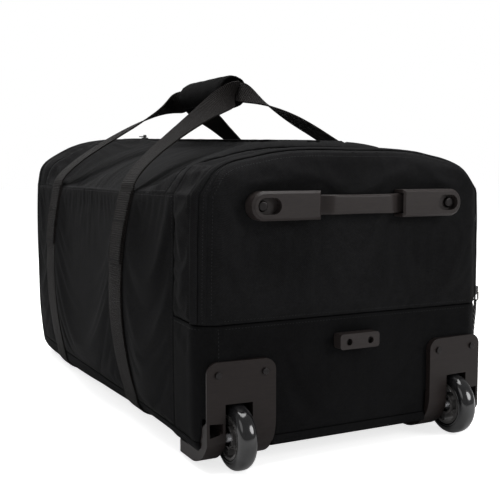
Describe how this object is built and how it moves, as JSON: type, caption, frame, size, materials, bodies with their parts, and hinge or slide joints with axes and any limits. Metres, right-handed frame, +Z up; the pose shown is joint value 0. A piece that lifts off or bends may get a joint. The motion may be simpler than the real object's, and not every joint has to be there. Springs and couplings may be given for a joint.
{
  "type": "rolling duffel bag",
  "caption": "Soft two-wheeled duffel bag with top haul handle, sprung end grip, end pocket, moulded wheel housings and inline wheels.",
  "frame": {"origin": "on the floor, under the middle of the whole bag's box", "axes": "+Y from the wheel end to the plain end, +X to the right seen from the wheel end, +Z up"},
  "size_m": [0.453, 0.838, 0.495],
  "materials": {
    "fabric": "black woven polyester, matt with a faint sheen",
    "lining": "plain woven lining",
    "webbing": "ribbed webbing",
    "wrap": "padded woven wrap",
    "zip_coil": "nylon coil on woven tape",
    "zip_metal": "black lacquered die cast metal",
    "cord": "braided cord with light flecks",
    "cord_end": "moulded end",
    "board": "stiff plastic board",
    "moulding": "fine grained moulding, warm dark grey",
    "grip": "soft moulded grip",
    "wheel_tyre": "glossy polyurethane",
    "wheel_hub": "moulded spoked hub",
    "fastener": "blackened screw",
    "steel": "bright steel"
  },
  "bodies": {
    "root": {"base_board": "board", "base_panel": "fabric", "end_board": "board", "front_base_band": "fabric", "front_strap_band": "webbing", "front_top_cap": "fabric", "housing_screws": "fastener", "left_axle_bolt": "steel", "left_axle_nut": "steel", "left_axle_spacers": "steel", "left_bearing_inner_races": "steel", "left_side_panel": "fabric", "left_wheel_housing": "moulding", "pocket_bulkhead": "lining", "pocket_gusset": "fabric", "pocket_zip_fixed_half": "zip_coil", "rear_end_panel": "fabric", "rear_strap_band": "webbing", "rear_top_cap": "fabric", "right_axle_bolt": "steel", "right_axle_nut": "steel", "right_axle_spacers": "steel", "right_bearing_inner_races": "steel", "right_side_panel": "fabric", "right_wheel_housing": "moulding", "stand_foot": "moulding", "stand_foot_screws": "fastener", "top_zip_ends": "zip_coil"},
    "left_wheel": {"left_tyre": "wheel_tyre", "left_hub": "wheel_hub", "left_bearing_outer_races": "steel"},
    "right_wheel": {"right_tyre": "wheel_tyre", "right_hub": "wheel_hub", "right_bearing_outer_races": "steel"},
    "left_flap": {"left_top_panel": "fabric", "left_top_zip_half": "zip_coil", "left_haul_loop": "webbing", "left_grip_wrap_half": "wrap"},
    "right_flap": {"right_top_panel": "fabric", "right_top_zip_half": "zip_coil", "right_haul_loop": "webbing", "right_grip_wrap_half": "wrap"},
    "end_flap": {"pocket_panel": "fabric", "pocket_zip_panel_half": "zip_coil", "left_handle_block": "moulding", "right_handle_block": "moulding", "handle_rivets": "fastener", "handle_backing_plate": "steel"},
    "end_grip": {"grip_strap": "grip", "grip_spring_strip": "steel"},
    "top_slider": {"top_zip_slider": "zip_metal"},
    "top_pull": {"top_zip_pull": "zip_metal"},
    "pocket_slider": {"pocket_zip_slider": "zip_metal"},
    "pocket_pull": {"pocket_zip_pull": "zip_metal", "pull_cord": "cord", "pull_cord_end": "cord_end"}
  },
  "joints": [
    {"name": "left_wheel_spin", "type": "hinge", "parent": "root", "child": "left_wheel", "pos_m": [-0.16, -0.379, 0.04], "axis": [1, 0, 0], "continuous": true},
    {"name": "right_wheel_spin", "type": "hinge", "parent": "root", "child": "right_wheel", "pos_m": [0.16, -0.379, 0.04], "axis": [1, 0, 0], "continuous": true},
    {"name": "left_top_open", "type": "hinge", "parent": "root", "child": "left_flap", "pos_m": [-0.2075, 0.031, 0.321], "axis": [0, -1, 0], "range_deg": [0, 150]},
    {"name": "right_top_open", "type": "hinge", "parent": "root", "child": "right_flap", "pos_m": [0.2075, 0.031, 0.321], "axis": [0, 1, 0], "range_deg": [0, 150]},
    {"name": "end_pocket_open", "type": "hinge", "parent": "root", "child": "end_flap", "pos_m": [0, -0.383, 0.172], "axis": [1, 0, 0], "range_deg": [0, 80]},
    {"name": "end_grip_pull", "type": "slide", "parent": "end_flap", "child": "end_grip", "axis": [0, -1, 0], "range_m": [0, 0.006], "stiffness_N_per_m": 800},
    {"name": "top_zip_run", "type": "slide", "parent": "root", "child": "top_slider", "axis": [0, -0.9994, -0.0335], "range_m": [0, 0.627]},
    {"name": "top_zip_pull_lift", "type": "hinge", "parent": "top_slider", "child": "top_pull", "pos_m": [0, 0.34983, 0.4132], "axis": [1, 0, 0], "range_deg": [0, 150]},
    {"name": "pocket_zip_run", "type": "slide", "parent": "root", "child": "pocket_slider", "axis": [0, 0, 1], "range_m": [0, 0.12]},
    {"name": "pocket_zip_pull_swing", "type": "hinge", "parent": "pocket_slider", "child": "pocket_pull", "pos_m": [0.213, -0.362, 0.186], "axis": [0, -1, 0], "range_deg": [0, 150]}
  ]
}
